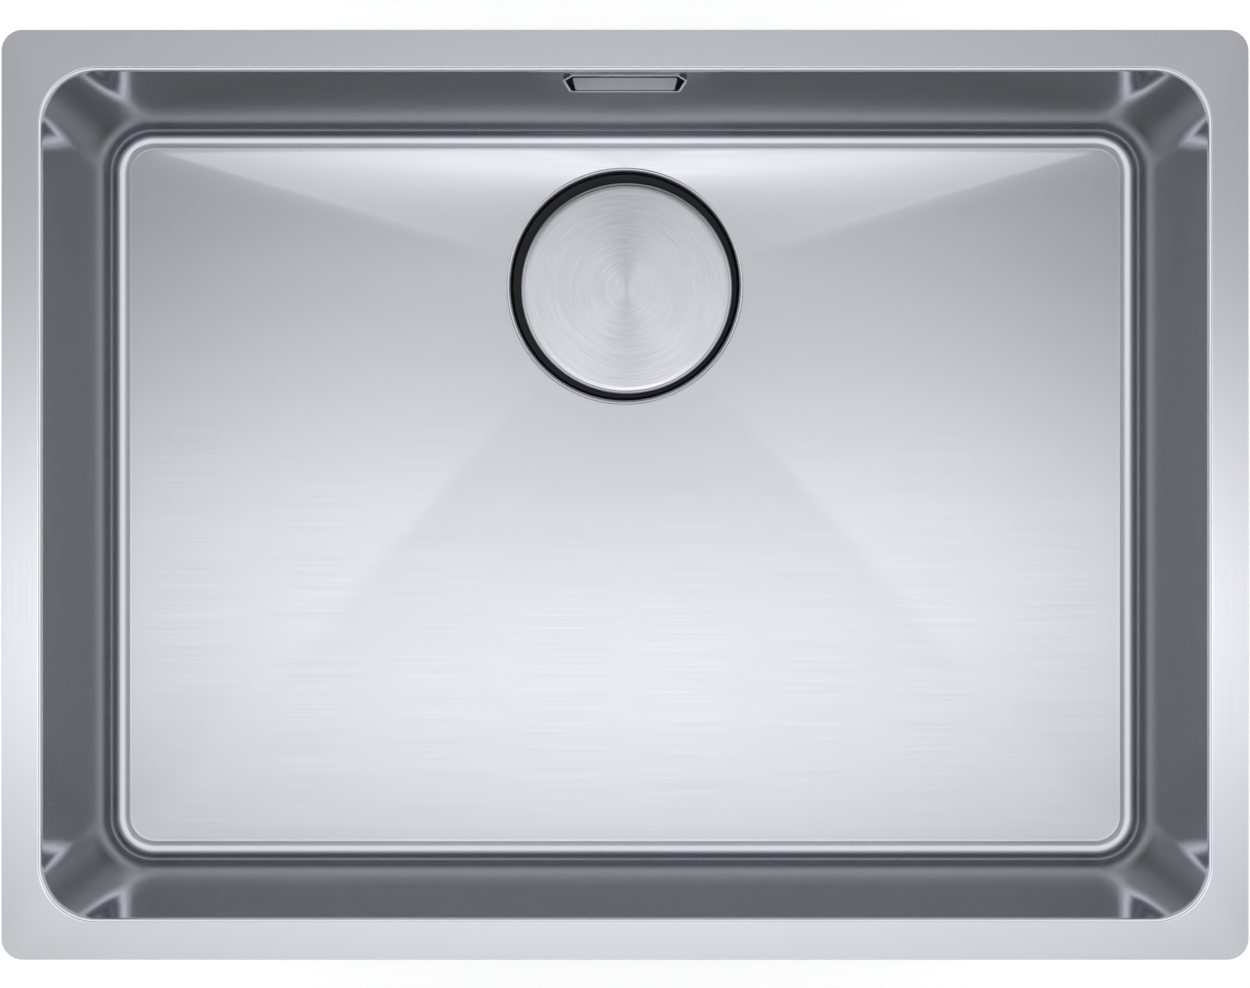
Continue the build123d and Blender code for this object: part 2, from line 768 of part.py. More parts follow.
# Basket seal: a soft ring round the basket, just clear of the dish
seal_top = dish_top - seal_drop
seal_base = seal_top - seal_height
with BuildPart() as basket_seal:
    with BuildSketch(drain_section):
        with BuildLine():
            Polyline(
                (basket_radius(seal_top) + seal_clearance, seal_top),
                (seal_radius, seal_top),
                (seal_radius, seal_base),
                (basket_radius(seal_base) + seal_clearance, seal_base),
                close=True,
            )
        make_face()
    revolve(axis=drain_axis)
basket_seal.part.label = "basket_seal"
export_step(basket_seal.part, "parts/basket_seal.step")

# Basket knob: a moulded post through the basket's floor, with a domed head to lift it by
collar_base = basket_under - collar_height
plug_end = dish_floor + screw_head_height + running_clearance
knob_radius = knob_diameter / 2
with BuildPart() as basket_knob:
    with BuildSketch(drain_section) as knob_profile:
        with BuildLine():
            Polyline(
                (0, plug_end),
                (plug_radius, plug_end),
                (plug_radius, collar_base),
                (collar_diameter / 2, collar_base),
                (collar_diameter / 2, basket_under),
                (post_radius, basket_under),
                (post_radius, knob_top - knob_height),
                (knob_radius, knob_top - knob_height),
                (knob_radius, knob_top),
                (0, knob_top),
                close=True,
            )
        make_face()
        knob_corner = knob_profile.vertices().sort_by_distance(Vertex(knob_radius, knob_top, 0))[0]
        fillet(knob_corner, knob_edge)
    revolve(axis=drain_axis)
basket_knob.part.label = "basket_knob"
export_step(basket_knob.part, "parts/basket_knob.step")

# Cover: a brushed disc with a turned-down edge, loose in the recess and so a little off centre
with BuildPart() as drain_cover:
    with BuildSketch(cover_section):
        with BuildLine():
            FilletPolyline(
                (0, cover_top),
                (cover_diameter / 2, cover_top),
                (cover_diameter / 2, cover_top - cover_skirt),
                radius=cover_edge,
            )
            offset(amount=cover_sheet, side=Side.RIGHT)
        make_face()
    revolve(axis=cover_axis)
drain_cover.part.label = "drain_cover"
export_step(drain_cover.part, "parts/drain_cover.step")

# Cover carrier: a moulded disc under the cover, whose notched ring stands on the basket's rim
carrier_base = carrier_top - carrier_thickness
foot_ring_radius = foot_ring_diameter / 2
with BuildPart() as cover_carrier:
    with BuildSketch(Plane((cover_shift_x, cover_offset, carrier_base))):
        Circle(carrier_diameter / 2)
    extrude(amount=carrier_thickness)
    with BuildSketch(Plane((cover_shift_x, cover_offset, basket_top))):
        Circle(foot_ring_radius + foot_ring_wall / 2)
        Circle(foot_ring_radius - foot_ring_wall / 2, mode=Mode.SUBTRACT)
        with PolarLocations(foot_ring_radius, foot_notch_count):
            Rectangle(2 * foot_ring_wall, foot_notch, mode=Mode.SUBTRACT)
    extrude(amount=carrier_base - basket_top)
cover_carrier.part.label = "cover_carrier"
export_step(cover_carrier.part, "parts/cover_carrier.step")
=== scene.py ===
from math import atan, cos, radians, sin, tan

import bpy
import numpy as np
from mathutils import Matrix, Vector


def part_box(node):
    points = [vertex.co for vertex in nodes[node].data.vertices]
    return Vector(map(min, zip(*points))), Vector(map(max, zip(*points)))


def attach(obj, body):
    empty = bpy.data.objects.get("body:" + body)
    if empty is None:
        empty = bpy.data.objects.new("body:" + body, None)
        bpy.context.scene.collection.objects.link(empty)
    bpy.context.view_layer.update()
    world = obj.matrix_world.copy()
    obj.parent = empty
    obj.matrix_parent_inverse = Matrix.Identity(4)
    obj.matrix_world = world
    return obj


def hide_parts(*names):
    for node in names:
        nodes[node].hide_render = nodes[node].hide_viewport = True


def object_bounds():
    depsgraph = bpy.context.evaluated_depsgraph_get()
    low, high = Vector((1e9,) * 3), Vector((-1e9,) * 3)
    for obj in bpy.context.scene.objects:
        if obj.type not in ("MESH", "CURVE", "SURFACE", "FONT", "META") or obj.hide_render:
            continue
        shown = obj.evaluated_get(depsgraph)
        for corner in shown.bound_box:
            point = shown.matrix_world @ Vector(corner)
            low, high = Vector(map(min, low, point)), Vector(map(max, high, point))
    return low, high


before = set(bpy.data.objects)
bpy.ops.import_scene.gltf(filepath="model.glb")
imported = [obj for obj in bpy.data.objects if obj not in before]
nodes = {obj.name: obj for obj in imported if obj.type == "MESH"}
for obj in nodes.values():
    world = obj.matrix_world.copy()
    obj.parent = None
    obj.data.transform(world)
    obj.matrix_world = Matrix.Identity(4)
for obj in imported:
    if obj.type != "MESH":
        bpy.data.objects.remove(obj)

cad_low, cad_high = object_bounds()

# Bowl: one pressed sheet of satin stainless steel, with a flat flange, four leaning walls, a
# rounded base, a floor that falls to the drain and a recess round it. The overflow's hole goes
# through the back wall. The flange is bedded on sealant under the worktop.
sheet = 0.001
mouth_length = 0.552
mouth_width = 0.401
mouth_corner = 0.026
wall_run_side = 0.017
wall_run_front = 0.0165
base_corner = 0.022
flange_corner = 0.010
floor_edge = -0.198
rim_radius = 0.002
base_radius = 0.010
border = 0.001
floor_room = 0.045
drain_y = 0.1055
drain_rim = -0.200
recess_radius = 0.05775
recess_edge = 0.002
ledge = -0.212
ledge_hole = 0.046
edge_break = 0.0002
hole_levels = (-0.01256, -0.01754, -0.0315)
hole_halves = (0.0234, 0.0277, 0.0244)
columns_long = 88
columns_short = 62
columns_corner = 14
hole_first = 38
hole_last = 50
flange_rows = 4
rim_steps = 6
rows_above_hole = 3
rows_upper_hole = 2
rows_lower_hole = 4
rows_below_hole = 13
bend_steps = 12
floor_rows = 28
recess_steps = 6
under_flange_rows = 3
under_floor_rows = 10
under_recess_steps = 5
under_lip_steps = 4
flange_support = 0.015
drain_support = 0.002
lean = atan((wall_run_side + wall_run_front) / 2 / -floor_edge)


def rounded_ring(length, width, corner, height):
    """A rounded rectangle's points, anticlockwise from the right side's foot. Each side is
    divided evenly and each corner by angle, but the back side keeps a stretch in its middle
    that is as wide as the overflow's hole at this height."""
    x = length / 2 - corner
    y = width / 2 - corner
    half = np.interp(-height, [-level for level in hole_levels], hole_halves)
    up = np.linspace(-y, y, columns_short + 1)[:-1]
    along = np.linspace(-x, x, columns_long + 1)[:-1]
    turn = np.linspace(0, np.pi / 2, columns_corner + 1)[:-1]
    back = np.interp(
        np.arange(columns_long), [0, hole_first, hole_last, columns_long], [x, half, -half, -x]
    )
    pieces = [
        (np.full(columns_short, length / 2), up),
        (x + corner * np.cos(turn), y + corner * np.sin(turn)),
        (back, np.full(columns_long, width / 2)),
        (-x - corner * np.sin(turn), y + corner * np.cos(turn)),
        (np.full(columns_short, -length / 2), -up),
        (-x - corner * np.cos(turn), -y - corner * np.sin(turn)),
        (along, np.full(columns_long, -width / 2)),
        (x + corner * np.sin(turn), -y - corner * np.cos(turn)),
    ]
    xs = np.concatenate([piece[0] for piece in pieces])
    ys = np.concatenate([piece[1] for piece in pieces])
    return np.column_stack([xs, ys, np.full(len(xs), height)])


def wall_ring(inset, height):
    """The ring that lies the given inset inside the inner wall's own line at a height. The
    wall's length, width and corner radius shrink evenly from the mouth to the floor's edge."""
    depth = height / floor_edge
    return rounded_ring(
        mouth_length - 2 * (depth * wall_run_side + inset),
        mouth_width - 2 * (depth * wall_run_front + inset),
        mouth_corner - depth * (mouth_corner - base_corner) - inset,
        height,
    )


def round_rows(radius, start, end, steps):
    """Pairs (cosine, sine) times a radius at even angles from start to end, in radians."""
    angle = np.linspace(start, end, steps + 1)
    return radius * np.cos(angle), radius * np.sin(angle)


def rim_rows(radius, skin):
    """The rolled rim between flange and wall: a quarter round whose centre lies under the
    flange, at the inner sheet face's radius less the skin."""
    run, rise = round_rows(radius - skin, radians(90), lean, rim_steps)
    centre = -radius * tan((radians(90) - lean) / 2)
    heights = rise - radius
    return [wall_ring(centre + x + z * tan(lean), z) for x, z in zip(run, heights)]


def bend_rows(skin):
    """The round between wall and floor: a quarter round tangent to both, one skin outwards."""
    radius = base_radius + skin
    run, rise = round_rows(radius, lean, radians(90), bend_steps)
    centre = radius * (1 - sin(lean)) / cos(lean)
    heights = radius - rise
    return [
        wall_ring(centre - x - skin + h * tan(lean), floor_edge - skin + h)
        for x, h in zip(run, heights)
    ]


def drain_ring(radius, height):
    """A circle about the drain, where each side and corner of the floor's edge has an arc that
    spans the same angle as seen from the drain."""
    xs = radius * np.cos(drain_angles)
    ys = drain_y + radius * np.sin(drain_angles)
    return np.column_stack([xs, ys, np.full(len(drain_angles), height)])


def settled(ring):
    """The ring let down behind the drain, where the floor has little room to fall. Each point
    sinks by its own column's dip times its share of the depth below the overflow's hole."""
    depth = np.clip((ring[:, 2] - hole_levels[2]) / (floor_edge - hole_levels[2]), 0, 1)
    return ring - np.outer(depth * dip, [0, 0, 1])


def between(first, last, steps):
    """Rings ruled straight from one ring to another, the last one left out."""
    share = np.linspace(0, 1, steps + 1)[:-1]
    return [first + (last - first) * s for s in share]


def travel_along(points):
    """How far along a closed line of points each one lies, with the whole length last."""
    steps = np.linalg.norm(np.diff(points, axis=0, append=points[:1]), axis=1)
    return np.concatenate([[0], np.cumsum(steps)])


bend_run = base_radius * (1 - sin(lean)) / cos(lean)
floor_ring = wall_ring(bend_run + border, floor_edge)
counts = np.cumsum([0] + [columns_short, columns_corner, columns_long, columns_corner] * 2)
floor_corners = floor_ring[counts[:-1]]
corner_angles = np.unwrap(np.arctan2(floor_corners[:, 1] - drain_y, floor_corners[:, 0]))
corner_angles = np.append(corner_angles, corner_angles[0] + 2 * np.pi)
travelled = travel_along(floor_ring[:, :2])
drain_angles = np.interp(travelled[:-1], travelled[counts], corner_angles)
rim_circle = recess_radius + recess_edge
room = np.linalg.norm((floor_ring - drain_ring(rim_circle, floor_edge))[:, :2], axis=1)
dip = (floor_edge - drain_rim) * np.exp(-room / floor_room)
floor_ring = settled(floor_ring)

bowl_low, bowl_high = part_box("bowl")
flange_length = bowl_high.x - bowl_low.x
flange_width = bowl_high.y - bowl_low.y
wall_levels = np.concatenate([
    np.linspace(-rim_radius, hole_levels[0], rows_above_hole + 1)[1:],
    np.linspace(hole_levels[0], hole_levels[1], rows_upper_hole + 1)[1:],
    np.linspace(hole_levels[1], hole_levels[2], rows_lower_hole + 1)[1:],
    np.linspace(hole_levels[2], floor_edge + base_radius, rows_below_hole + 1)[1:-1],
])


def flange_ring(inset, height):
    """The flange's outer edge, or a ring just inside it."""
    return rounded_ring(
        flange_length - 2 * inset, flange_width - 2 * inset, flange_corner - inset, height,
    )


inner_rim = rim_rows(rim_radius, 0)
outer_rim = rim_rows(rim_radius, sheet)
top_edge = flange_ring(edge_break, 0)
under_edge = flange_ring(edge_break, -sheet)
rim_start = drain_ring(rim_circle, drain_rim)
rim_start_under = drain_ring(rim_circle, drain_rim - sheet)
edge_run, edge_rise = round_rows(recess_edge, radians(90), radians(180), recess_steps)
base_run, base_rise = round_rows(recess_edge, 0, radians(-90), recess_steps)
under_run, under_rise = round_rows(recess_edge + sheet, radians(-90), 0, under_recess_steps)
lip_run, lip_rise = round_rows(recess_edge - sheet, radians(180), radians(90), under_lip_steps)
base_centre = recess_radius - recess_edge
floor_under = floor_ring + [0, 0, -sheet]

inner = between(top_edge, inner_rim[0], flange_rows)
inner += [inner_rim[0] + (top_edge - inner_rim[0]) * flange_support] + inner_rim
wall_first = len(inner)
inner += [settled(wall_ring(0, z)) for z in wall_levels]
floor_first = len(inner)
inner += [settled(ring) for ring in bend_rows(0)]
inner += between(floor_ring, rim_start, floor_rows)
inner += [rim_start + (floor_ring - rim_start) * drain_support]
inner += [drain_ring(rim_circle + x, drain_rim - recess_edge + z) for x, z in zip(edge_run, edge_rise)]
inner += [drain_ring(base_centre + x, ledge + recess_edge + z) for x, z in zip(base_run, base_rise)]
inner += [drain_ring(ledge_hole, ledge)]
outer = [drain_ring(ledge_hole, ledge - sheet)]
outer += [drain_ring(base_centre + x, ledge + recess_edge + z) for x, z in zip(under_run, under_rise)]
outer += [drain_ring(rim_circle + x, drain_rim - recess_edge + z) for x, z in zip(lip_run, lip_rise)]
outer += between(rim_start_under, floor_under, under_floor_rows)[1:]
outer += [floor_under] + [settled(ring) for ring in bend_rows(sheet)[::-1]]
outer_wall_first = len(inner) + len(outer)
outer += [settled(wall_ring(-sheet, z)) for z in wall_levels[::-1]]
outer += outer_rim[::-1] + between(under_edge, outer_rim[0], under_flange_rows)[::-1]
outer += [flange_ring(0, edge_break - sheet), flange_ring(0, -edge_break)]
rings = np.array(inner + outer)

rows, columns = rings.shape[:2]
row_at, column_at = np.meshgrid(np.arange(rows), np.arange(columns), indexing="ij")
next_row = (row_at + 1) % rows
next_column = (column_at + 1) % columns
quads = np.stack([
    row_at * columns + column_at, row_at * columns + next_column,
    next_row * columns + next_column, next_row * columns + column_at,
], axis=-1)
back_start = columns_short + columns_corner
hole_columns = (column_at >= back_start + hole_first) & (column_at < back_start + hole_last)
hole_top = rows_above_hole - 1
hole_foot = hole_top + rows_upper_hole + rows_lower_hole
last_wall = outer_wall_first + len(wall_levels) - 1
inner_hole = (row_at >= wall_first + hole_top) & (row_at < wall_first + hole_foot) & hole_columns
outer_hole = (row_at >= last_wall - hole_foot) & (row_at < last_wall - hole_top) & hole_columns
kept = ~(inner_hole | outer_hole)


def hole_border(top_row, bottom_row):
    """The hole's border as one closed loop of vertex numbers on one face of the sheet."""
    first = back_start + hole_first
    last = back_start + hole_last
    step = 1 if bottom_row > top_row else -1
    over = np.arange(first, last)
    down = np.arange(top_row, bottom_row, step)
    return np.concatenate([
        top_row * columns + over, down * columns + last,
        bottom_row * columns + over[::-1] + 1, down[::-1] * columns + step * columns + first,
    ])


front_loop = hole_border(wall_first + hole_top, wall_first + hole_foot)
rear_loop = hole_border(last_wall - hole_top, last_wall - hole_foot)
tunnel = np.stack([front_loop, rear_loop, np.roll(rear_loop, -1), np.roll(front_loop, -1)], axis=-1)
faces = np.concatenate([quads[kept], tunnel])


def surface(name, points, quads, uv, body, sharp=35, caps=None):
    """A mesh object from arrays: points as rows of x, y, z, quads as rows of four vertex
    numbers, uv as four pairs for each quad, and caps as rows of three vertex numbers, whose
    uv is nought. It is smooth but for edges past an angle."""
    mesh = bpy.data.meshes.new(name)
    faces = [] if caps is None else caps
    starts = np.concatenate([np.arange(0, quads.size, 4), quads.size + 3 * np.arange(len(faces))])
    corners = np.concatenate([quads.ravel(), np.asarray(faces, int).ravel()])
    uv = np.concatenate([np.asarray(uv).ravel(), np.zeros(6 * len(faces))])
    mesh.vertices.add(len(points))
    mesh.vertices.foreach_set("co", np.asarray(points, np.float32).ravel())
    mesh.loops.add(len(corners))
    mesh.loops.foreach_set("vertex_index", corners.astype(np.int32))
    mesh.polygons.add(len(starts))
    mesh.polygons.foreach_set("loop_start", starts.astype(np.int32))
    mesh.update(calc_edges=True)
    layer = mesh.uv_layers.new(name="UVMap")
    layer.data.foreach_set("uv", uv.astype(np.float32))
    mesh.validate()
    mesh.shade_smooth()
    mesh.set_sharp_from_angle(angle=radians(sharp))
    piece = bpy.data.objects.new(name, mesh)
    bpy.context.scene.collection.objects.link(piece)
    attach(piece, body)
    return piece


around = travel_along(rings[0])
across = travel_along(rings[:, 0])
ring_uv = np.stack([
    np.stack([around[column_at], across[row_at]], axis=-1),
    np.stack([around[column_at + 1], across[row_at]], axis=-1),
    np.stack([around[column_at + 1], across[row_at + 1]], axis=-1),
    np.stack([around[column_at], across[row_at + 1]], axis=-1),
], axis=-2)
plan_uv = rings.reshape(-1, 3)[quads][..., :2]
on_floor = (row_at >= floor_first + bend_steps) & (row_at < len(inner))
uv = np.where(on_floor[..., None, None], plan_uv, ring_uv)
tunnel_uv = np.zeros((len(tunnel), 4, 2))
bowl_uv = np.concatenate([uv[kept], tunnel_uv])
bowl = surface("bowl_sheet", rings.reshape(-1, 3), faces, bowl_uv, "sink")
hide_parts("bowl")


def new_material(name):
    """An empty node material, with its node tree and its main shader."""
    material = bpy.data.materials.new(name)
    material.use_nodes = True
    tree = material.node_tree
    return material, tree, tree.nodes["Principled BSDF"]


def noise(tree, source, scale, stretch, detail=2.0):
    """Noise over a coordinate stretched by three factors."""
    mapping = tree.nodes.new("ShaderNodeMapping")
    mapping.inputs["Scale"].default_value = stretch
    tree.links.new(source, mapping.inputs["Vector"])
    texture = tree.nodes.new("ShaderNodeTexNoise")
    texture.inputs["Scale"].default_value = scale
    texture.inputs["Detail"].default_value = detail
    tree.links.new(mapping.outputs["Vector"], texture.inputs["Vector"])
    return texture.outputs["Fac"]


def ramp(tree, source, low, high, first=0.3, last=0.7):
    """A colour ramp between two colours."""
    node = tree.nodes.new("ShaderNodeValToRGB")
    node.color_ramp.elements[0].position = first
    node.color_ramp.elements[0].color = (*low, 1)
    node.color_ramp.elements[1].position = last
    node.color_ramp.elements[1].color = (*high, 1)
    tree.links.new(source, node.inputs["Fac"])
    return node.outputs["Color"]


def spread(tree, source, low, high):
    """A value mapped from noise's usual span to a span of its own."""
    node = tree.nodes.new("ShaderNodeMapRange")
    node.inputs["From Min"].default_value = 0.3
    node.inputs["From Max"].default_value = 0.7
    node.inputs["To Min"].default_value = low
    node.inputs["To Max"].default_value = high
    tree.links.new(source, node.inputs["Value"])
    return node.outputs["Result"]


def relief(tree, shader, source, depth):
    """A bump of the given depth, in metres, on a shader's normal."""
    node = tree.nodes.new("ShaderNodeBump")
    node.inputs["Strength"].default_value = 1.0
    node.inputs["Distance"].default_value = depth
    tree.links.new(source, node.inputs["Height"])
    tree.links.new(node.outputs["Normal"], shader.inputs["Normal"])


def along_uv(tree, shader):
    """The shader's grain laid along the piece's own UV map."""
    tangent = tree.nodes.new("ShaderNodeTangent")
    tangent.direction_type = "UV_MAP"
    tangent.uv_map = "UVMap"
    tree.links.new(tangent.outputs["Tangent"], shader.inputs["Tangent"])


def on_piece(tree):
    """The piece's own coordinates, in metres."""
    return tree.nodes.new("ShaderNodeTexCoord").outputs["Object"]


def math(tree, operation, first, second=None):
    """One sum on two values or sockets."""
    node = tree.nodes.new("ShaderNodeMath")
    node.operation = operation
    for socket, value in zip(node.inputs, (first, second)):
        if value is None:
            continue
        if isinstance(value, (int, float)):
            socket.default_value = value
        else:
            tree.links.new(value, socket)
    return node.outputs[0]


def product(tree, first, second):
    """Two values or sockets multiplied."""
    return math(tree, "MULTIPLY", first, second)


def hump(tree, source, centre, half):
    """A smooth bell that is 1 at its centre: e to the minus of (distance / half) squared."""
    away = math(tree, "DIVIDE", math(tree, "SUBTRACT", source, centre), half)
    return math(tree, "POWER", 2.718, product(tree, product(tree, away, away), -1.0))


def parts_of(tree, source):
    """A vector's three values, as outputs X, Y and Z."""
    split = tree.nodes.new("ShaderNodeSeparateXYZ")
    tree.links.new(source, split.inputs[0])
    return split.outputs


def mixed(tree, start, shares):
    """A value with shares of other values added: pairs of a source and its share."""
    total = start
    for source, share in shares:
        total = math(tree, "ADD", total, product(tree, source, share))
    return total


# The sheet's tone runs from dark, 0, to light, 1, and carries painted light and shade. The flange
# and the floor are painted lighter than the walls as lit faces, the foot of the walls and the start
# of the bend are painted darker as shade, and the bend's heel gets a painted highlight. A narrow
# strip between the heel and the floor is rougher. Distances marked back are measured from the
# bend's end towards the wall.
flange_highlight_level = -0.0018
floor_highlight_level = -0.190
foot_shade_level = -0.157
foot_shade_half = 0.020
bend_shade_level = -0.195
bend_shade_half = 0.0025
heel_highlight_back = 0.0040
heel_highlight_half = 0.0020
worn_back = 0.0012
worn_half = 0.0012
wall_shade_tone = 0.53
outside_tone = 0.48
streak_gain = 0.04
flange_highlight_gain = 0.46
floor_highlight_gain = 0.19
foot_shade_loss = 0.56
bend_shade_loss = 0.42
heel_highlight_gain = 0.22
worn_roughness = 0.34
steel_in_shade = (0.15, 0.154, 0.167)
steel_in_light = (0.91, 0.925, 0.995)

steel, tree, shader = new_material("satin_sheet_painted_light")
place = tree.nodes.new("ShaderNodeTexCoord").outputs["UV"]
fine = noise(tree, place, 1.0, (16, 3200, 1))
broad = noise(tree, place, 1.0, (3, 60, 1))
height = parts_of(tree, on_piece(tree))["Z"]
along = parts_of(tree, place)["Y"]
bend_end = across[floor_first + bend_steps]
# Masks for the painted light and shade: the lit flange and floor, the shaded foot and bend, and the heel's
# painted highlight.
flange = math(tree, "GREATER_THAN", height, flange_highlight_level)
ground = math(tree, "LESS_THAN", height, floor_highlight_level)
foot = hump(tree, height, foot_shade_level, foot_shade_half)
bend = hump(tree, height, bend_shade_level, bend_shade_half)
heel = hump(tree, along, bend_end - heel_highlight_back, heel_highlight_half)
# The walls' low tone is painted shade; the broad noise is the sheet's own streaky grain.
tone = math(tree, "ADD", product(tree, broad, streak_gain), wall_shade_tone)
tone = mixed(tree, tone, (
    (flange, flange_highlight_gain), (ground, floor_highlight_gain), (foot, -foot_shade_loss), (bend, -bend_shade_loss), (heel, heel_highlight_gain),
))
inside = math(tree, "LESS_THAN", along, across[len(inner)])
outside = math(tree, "SUBTRACT", 1.0, inside)
tone = math(tree, "ADD", product(tree, inside, tone), product(tree, outside, outside_tone))
shader.inputs["Metallic"].default_value = 0.94
shader.inputs["Anisotropic"].default_value = 0.3
shader.inputs["Anisotropic Rotation"].default_value = 0.25
tree.links.new(ramp(tree, tone, steel_in_shade, steel_in_light, 0.0, 1.0), shader.inputs["Base Color"])
worn = product(tree, hump(tree, along, bend_end - worn_back, worn_half), worn_roughness)
rough = math(tree, "ADD", spread(tree, fine, 0.13, 0.16), worn)
tree.links.new(rough, shader.inputs["Roughness"])
relief(tree, shader, fine, 0.0000006)
along_uv(tree, shader)
bowl.data.materials.append(steel)

# Sound pads: three sheets of dark bitumen felt with an embossed grid, stuck warm to the floor's
# underside, where they deaden the sound of falling water.
def dress(material, *names):
    """Gives the named CAD pieces a finish."""
    for name in names:
        for place in nodes[name].material_slots:
            place.material = material


def bands(tree, source, pitch):
    """Even bands over a value: the sine of its turns at the given pitch, from 0 to 1."""
    wave = math(tree, "SINE", product(tree, source, 2 * np.pi / pitch))
    return math(tree, "ADD", product(tree, wave, 0.5), 0.5)


grid_pitch = 0.006
felt, tree, shader = new_material("bitumen_felt")
place = on_piece(tree)
spot = parts_of(tree, place)
fleck = noise(tree, place, 900, (1, 1, 1), 3)
patch = noise(tree, place, 40, (1, 1, 1))
grid = math(tree, "MAXIMUM", bands(tree, spot["X"], grid_pitch), bands(tree, spot["Y"], grid_pitch))
embossed = math(tree, "ADD", product(tree, grid, 0.8), product(tree, fleck, 0.2))
tree.links.new(ramp(tree, patch, (0.030, 0.030, 0.032), (0.055, 0.055, 0.058)), shader.inputs["Base Color"])
tree.links.new(spread(tree, fleck, 0.62, 0.82), shader.inputs["Roughness"])
relief(tree, shader, embossed, 0.0006)
dress(felt, "sound_pad_front", "sound_pad_left", "sound_pad_right")

# Overflow trim: a die-cast, satin-plated frame in the wall's hole and a bare plate on a peg in
# front of it. Two small screws behind the plate draw the frame against the housing.
def plating(name, dark, light):
    """Satin plate with a faint grain along the piece's length."""
    plate, tree, shader = new_material(name)
    grain = noise(tree, on_piece(tree), 1.0, (160, 2400, 2400))
    shader.inputs["Metallic"].default_value = 1.0
    tree.links.new(ramp(tree, grain, dark, light), shader.inputs["Base Color"])
    tree.links.new(spread(tree, grain, 0.12, 0.20), shader.inputs["Roughness"])
    relief(tree, shader, grain, 0.000002)
    return plate


dress(plating("frame_plating", (0.50, 0.505, 0.54), (0.58, 0.585, 0.62)), "overflow_frame")
# The plate has the frame's plating made darker: painted shade on the plate.
dress(plating("plate_plating_painted_shade", (0.27, 0.276, 0.30), (0.33, 0.336, 0.36)), "overflow_plate")

screw_steel, tree, shader = new_material("turned_steel")
place = on_piece(tree)
wear = noise(tree, place, 700, (1, 1, 1), 3)
shader.inputs["Metallic"].default_value = 1.0
tree.links.new(ramp(tree, wear, (0.50, 0.50, 0.51), (0.64, 0.64, 0.65)), shader.inputs["Base Color"])
tree.links.new(spread(tree, wear, 0.22, 0.38), shader.inputs["Roughness"])
relief(tree, shader, wear, 0.00002)
dress(screw_steel, "overflow_screws")

# Overflow housing: a grey moulded box with a rubber gasket behind the wall, and a spigot below.
# Its skin has the fine matt of a spark-eroded mould.
def moulding(name, dark, light, rough):
    """Moulded plastic: a fine matt skin with faint flow marks and a slight change of tone."""
    plastic, tree, shader = new_material(name)
    place = on_piece(tree)
    skin = noise(tree, place, 2600, (1, 1, 1), 3)
    flow = noise(tree, place, 1.0, (30, 30, 110))
    tree.links.new(ramp(tree, flow, dark, light), shader.inputs["Base Color"])
    tree.links.new(spread(tree, skin, rough - 0.06, rough + 0.08), shader.inputs["Roughness"])
    relief(tree, shader, skin, 0.00003)
    return plastic


grey_moulding = moulding("grey_moulding", (0.47, 0.48, 0.49), (0.54, 0.55, 0.56), 0.42)
black_moulding = moulding("black_moulding", (0.015, 0.0155, 0.021), (0.024, 0.025, 0.033), 0.40)
dress(grey_moulding, "overflow_housing")

rubber, tree, shader = new_material("seal_rubber_skin")
place = on_piece(tree)
bloom = noise(tree, place, 500, (1, 1, 1), 3)
tree.links.new(ramp(tree, bloom, (0.030, 0.030, 0.031), (0.052, 0.052, 0.054)), shader.inputs["Base Color"])
tree.links.new(spread(tree, bloom, 0.60, 0.78), shader.inputs["Roughness"])
relief(tree, shader, bloom, 0.00004)
dress(rubber, "overflow_gasket")

# Overflow pipe: moulded in grey plastic, with a short bellows. It runs down the back and
# forward into the waste, with a rubber washer and an eight-sided black coupling nut at each end.
pipe_y = 0.2105
pipe_top = -0.050
pipe_level = -0.237
pipe_front = 0.165
pipe_radius = 0.0095
pipe_wall = 0.0015
pipe_bend = 0.025
bellows_top = -0.110
bellows_pitch = 0.007
bellows_ribs = 8
bellows_rise = 0.0027
rib_rows = 16
rib_roundness = 0.7
straight_rows = 7
pipe_bend_rows = 24
forward_rows = 4
pipe_columns = 72


def rings_about(centres, right, up, radii):
    """Rings of points: each centre plus its radii times the cosine of even turns to the right
    and their sine upwards. Rows are rings and columns go round."""
    turn = np.linspace(0, 2 * np.pi, radii.shape[1], endpoint=False)[None, :, None]
    outwards = np.cos(turn) * right[:, None] + np.sin(turn) * up[:, None]
    return centres[:, None] + radii[..., None] * outwards


def ringed(name, rings, body, sharp=35, poles=None):
    """A closed surface over rings of points. Each ring is joined to the next and the last to
    the first, or the first and the last are closed by a pole each. The UV map holds the share
    of a turn and the travel along the rings, in metres."""
    rows, columns = rings.shape[:2]
    points = rings.reshape(-1, 3)
    joined = rows - (poles is not None)
    row_at, column_at = np.meshgrid(np.arange(joined), np.arange(columns), indexing="ij")
    next_row = (row_at + 1) % rows
    next_column = (column_at + 1) % columns
    quads = np.stack([
        row_at * columns + column_at, next_row * columns + column_at,
        next_row * columns + next_column, row_at * columns + next_column,
    ], axis=-1).reshape(-1, 4)
    travel = travel_along(rings[:, 0])
    uv = np.stack([
        np.stack([column_at / columns, travel[row_at]], axis=-1),
        np.stack([column_at / columns, travel[row_at + 1]], axis=-1),
        np.stack([(column_at + 1) / columns, travel[row_at + 1]], axis=-1),
        np.stack([(column_at + 1) / columns, travel[row_at]], axis=-1),
    ], axis=-2)
    if poles is None:
        return surface(name, points, quads, uv, body, sharp)
    first = np.arange(columns)
    after = (first + 1) % columns
    last = (rows - 1) * columns
    caps = np.concatenate([
        np.stack([np.full(columns, len(points)), first, after], axis=-1),
        np.stack([np.full(columns, len(points) + 1), last + after, last + first], axis=-1),
    ])
    return surface(name, np.concatenate([points, poles]), quads, uv, body, sharp, caps)


